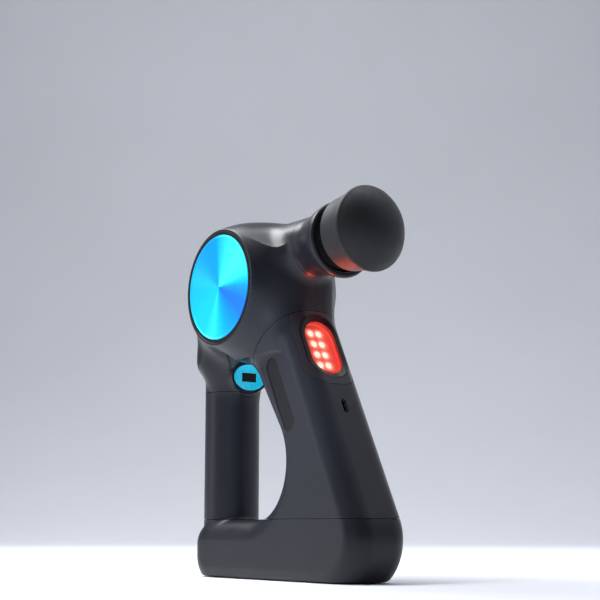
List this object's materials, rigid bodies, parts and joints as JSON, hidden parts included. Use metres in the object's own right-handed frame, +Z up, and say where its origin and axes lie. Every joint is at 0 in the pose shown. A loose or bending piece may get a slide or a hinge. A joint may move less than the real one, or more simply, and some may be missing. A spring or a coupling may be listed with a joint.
{
  "type": "massage gun",
  "caption": "Handheld percussion massage gun: triangular two-leg grip, round drum with blue side cap, barrel arm with soft push-on head, red light window and finger sensor.",
  "frame": {"origin": "centre of the flat foot face that the handle stands on", "axes": "+Z up, along the rear grip; -Y the working end, along the percussion arm; -X the side with the large blue cap"},
  "size_m": [0.0669, 0.1705, 0.222],
  "materials": {
    "shell": "satin moulded, fine texture",
    "grip": "soft-touch matt",
    "dark_gloss": "polished",
    "red_lens": "translucent red, lit",
    "white_plastic": "white reflector",
    "board": "solder mask",
    "emitter": "lit",
    "steel": "ground",
    "blue_anodised": "turned and anodised blue",
    "black_plastic": "satin",
    "display": "dark glass",
    "aluminium": "machined",
    "bronze": "sintered bronze",
    "rubber": "matt",
    "magnet": "nickel plated",
    "laminate": "stacked sheets",
    "copper": "enamelled wire",
    "cell_wrap": "shrink sleeve",
    "head_soft": "matt closed-cell foam skin"
  },
  "bodies": {
    "housing": {"housing_left": "shell", "housing_right": "shell", "nose_collar": "shell", "front_grip_cover": "shell", "light_panel": "shell", "rear_grip_sleeve": "grip", "base_cover": "shell", "light_bezel": "dark_gloss", "light_lens": "red_lens", "light_reflector": "white_plastic", "light_board": "board", "light_emitters": "emitter", "side_inserts": "dark_gloss", "charge_socket": "steel", "charge_board": "board", "cap_disc_left": "blue_anodised", "cap_ring_left": "black_plastic", "cap_disc_right": "blue_anodised", "cap_ring_right": "black_plastic", "sensor_dish": "blue_anodised", "sensor_window": "dark_gloss", "sensor_board": "board", "control_panel": "dark_gloss", "display_glass": "display", "display_module": "black_plastic", "button_board": "board", "guide_tube": "aluminium", "shaft_bushings": "bronze", "nose_seal": "rubber", "motor_plate": "aluminium", "motor_bearings": "steel", "motor_stator": "laminate", "motor_windings": "copper", "chassis_plate": "aluminium", "chassis_posts": "aluminium", "soft_mounts": "rubber", "chassis_screws": "steel", "housing_screws": "steel", "main_board": "board", "battery_cells_front": "cell_wrap", "battery_end_frames": "black_plastic", "battery_cell_rear": "cell_wrap", "rear_cell_rings": "black_plastic", "wiring": "rubber", "foot_pad": "rubber"},
    "power_key": {"power_button": "black_plastic"},
    "up_key": {"speed_up_button": "black_plastic"},
    "down_key": {"speed_down_button": "black_plastic"},
    "shaft": {"percussion_shaft": "steel", "shaft_yoke": "aluminium"},
    "rotor": {"rotor_bell": "steel", "rotor_magnets": "magnet", "motor_axle": "steel", "crank_disc": "steel", "crank_pin": "steel", "crank_roller": "steel"},
    "head": {"head_core": "black_plastic", "head_snap_ring": "steel", "head_body": "head_soft"}
  },
  "joints": [
    {"name": "shaft_stroke", "type": "slide", "parent": "housing", "child": "shaft", "axis": [0, -1, 0], "range_m": [0, 0.016]},
    {"name": "crank_turn", "type": "hinge", "parent": "housing", "child": "rotor", "pos_m": [0.0086, 0.024, 0.18], "axis": [1, 0, 0], "range_deg": [0, 181]},
    {"name": "head_pull", "type": "slide", "parent": "shaft", "child": "head", "axis": [0, -1, 0], "range_m": [0, 0.024]},
    {"name": "power_press", "type": "slide", "parent": "housing", "child": "power_key", "axis": [0, -1, 0], "range_m": [0, 0.0009], "stiffness_N_per_m": 900, "springref_m": -0.0006},
    {"name": "speed_up_press", "type": "slide", "parent": "housing", "child": "up_key", "axis": [0, -1, 0], "range_m": [0, 0.0009], "stiffness_N_per_m": 900, "springref_m": -0.0006},
    {"name": "speed_down_press", "type": "slide", "parent": "housing", "child": "down_key", "axis": [0, -1, 0], "range_m": [0, 0.0009], "stiffness_N_per_m": 900, "springref_m": -0.0006}
  ],
  "couplings": [
    {"joint": "crank_turn", "follows": "shaft_stroke", "rad_per_m": 196.35}
  ]
}
